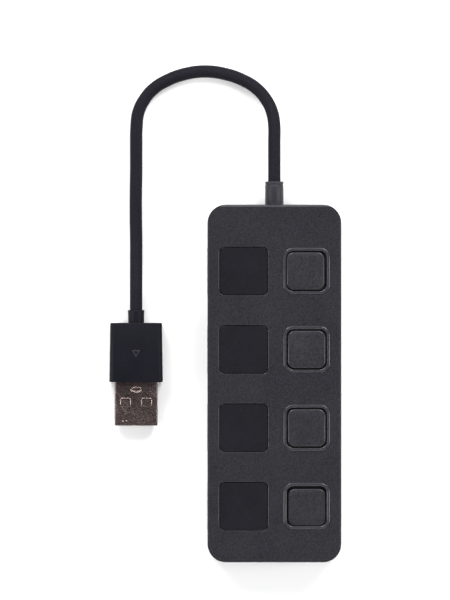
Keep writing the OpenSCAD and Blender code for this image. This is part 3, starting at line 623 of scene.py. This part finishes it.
def makePlugShell():
    middle, low, high = middleOf("plug_shell")
    look = plugLook
    size = high - low
    bm = bmesh.new()
    bmesh.ops.create_cube(bm, size=1)
    bmesh.ops.scale(bm, vec=size, verts=bm.verts)
    longEdges = [e for e in bm.edges if abs(e.verts[0].co.y - e.verts[1].co.y) > mm]
    bmesh.ops.bevel(bm, geom=longEdges, offset=look["corner"] * mm, offset_type="OFFSET", segments=6, profile=0.5,
                    affect="EDGES", material=-1, clamp_overlap=True)
    tip = [e for e in bm.edges if all(v.co.y < -size.y / 2 + 0.01 * mm for v in e.verts)]
    bmesh.ops.bevel(bm, geom=tip, offset=look["tip"] * mm, offset_type="OFFSET", segments=3, profile=0.5, affect="EDGES",
                    material=-1, clamp_overlap=True)
    bmesh.ops.translate(bm, verts=bm.verts, vec=middle)
    piece = settle(bm, "plugShell", "plug_steel", "root", ["plug_shell"])
    inside = [size[axis] / mm - 2 * look["wall"] for axis in (0, 2)]
    cutters = [cutterBlock("hollow", inside[0], size.y / mm + 2, inside[1], 0.01, middle)]
    edge = low.y + look["outside"] * mm
    for side in (-1, 1):
        for face in (-1, 1):
            top = middle.z + face * size.z / 2
            cutters.append(cutterBlock("latch", look["window"][0], look["window"][1], 2 * look["pocket"], 0.55,
                                       (middle.x + side * look["windowX"] * mm, edge - look["windowY"] * mm, top)))
    bm = bmesh.new()
    bmesh.ops.create_uvsphere(bm, u_segments=32, v_segments=16, radius=1)
    bmesh.ops.scale(bm, vec=[v * mm for v in look["dimple"]], verts=bm.verts)
    bmesh.ops.translate(bm, verts=bm.verts, vec=(middle.x, edge - look["dimpleY"] * mm, high.z + 0.03 * mm))
    cutters.append(loose(bm, "dimple"))
    cutOut(piece, cutters)
    for polygon in piece.data.polygons:
        polygon.use_smooth = polygon.area < look["flatFrom"] * mm * mm
    bm = bmesh.new()
    bm.from_mesh(piece.data)
    wide, long = look["window"]
    for face in (-1, 1):
        top = middle.z + face * size.z / 2
        for side in (-1, 1):
            addBead(bm, archLine(wide - 0.2, long, 0.6), look["bead"],
                    (middle.x + side * look["windowX"] * mm, edge - look["windowY"] * mm, top))
    addBead(bm, ovalLine(*look["dimple"][:2]), look["bead"], (middle.x, edge - look["dimpleY"] * mm, high.z))
    # small raised spots in the lighter steel: painted glints
    for spot in look["glintDents"]:
        addBead(bm, [(-0.25, 0.1, 0.6), (0, 0, 1.6), (0.25, -0.1, 0.6)], look["bead"],
                (middle.x + spot[0] * mm, low.y + spot[1] * mm, high.z))
    bm.to_mesh(piece.data)
    bm.free()
    # second slot: the lighter steel of the painted highlight on the lips and spots
    piece.data.materials.append(materials["plug_rim"])
    return piece


plugGrip = makeGrip()
gripArrow = makeArrow()
plugShell = makePlugShell()
print("plug made")


floorLook = {"size": 6.0, "colour": (0.93, 0.93, 0.935, 1), "drop": 0.02, "glow": 0.11}


def makeFloor():
    mesh = bpy.data.meshes.new("studioFloor")
    bm = bmesh.new()
    bmesh.ops.create_grid(bm, x_segments=2, y_segments=2, size=floorLook["size"] / 2)
    bmesh.ops.translate(bm, verts=bm.verts, vec=(0, 0, -floorLook["drop"] * mm))
    bm.to_mesh(mesh)
    bm.free()
    floor = bpy.data.objects.new("studioFloor", mesh)
    scene.collection.objects.link(floor)
    finish, tree, shader, coords = newFinish("paperFinish")
    cloud = addNoise(tree, coords, 0.4)
    colour = addMix(tree, cloud, floorLook["colour"], shaded(floorLook["colour"], 0.98))
    tree.links.new(colour, shader.inputs["Base Color"])
    shader.inputs["Roughness"].default_value = 0.85
    shader.inputs["Emission Color"].default_value = (1, 1, 1, 1)
    shader.inputs["Emission Strength"].default_value = floorLook["glow"]
    shader.inputs["Specular IOR Level"].default_value = 0.1
    mesh.materials.append(finish)


def softbox(name, place, size, power):
    data = bpy.data.lights.new(name, "AREA")
    data.shape = "RECTANGLE"
    data.size, data.size_y = size
    data.energy = power
    light = bpy.data.objects.new(name, data)
    light.location = place
    aim = Vector((-0.0138, 0.0233, 0.007)) - Vector(place)
    light.rotation_euler = aim.to_track_quat("-Z", "Y").to_euler()
    scene.collection.objects.link(light)


makeFloor()
world = bpy.data.worlds.new("studio")
world.use_nodes = True
world.node_tree.nodes["Background"].inputs["Color"].default_value = (1, 1, 1, 1)
world.node_tree.nodes["Background"].inputs["Strength"].default_value = 0.25
scene.world = world
softbox("keyLeft", (-0.4, 0.72, 0.8), (0.45, 0.45), 8.8)
softbox("keyRight", (0.4, 0.72, 0.8), (0.45, 0.45), 8.9)
softbox("leftBox", (-0.85, -0.1, 0.55), (0.3, 0.6), 4.6)
softbox("rightBox", (0.85, -0.05, 0.55), (0.3, 0.6), 4.8)
softbox("backBox", (0, 0.85, 0.75), (0.6, 0.2), 1.6)
softbox("frontBox", (0.03, -0.3, 0.32), (0.3, 0.1), 0.55)
print("lights set")

bpy.context.view_layer.update()
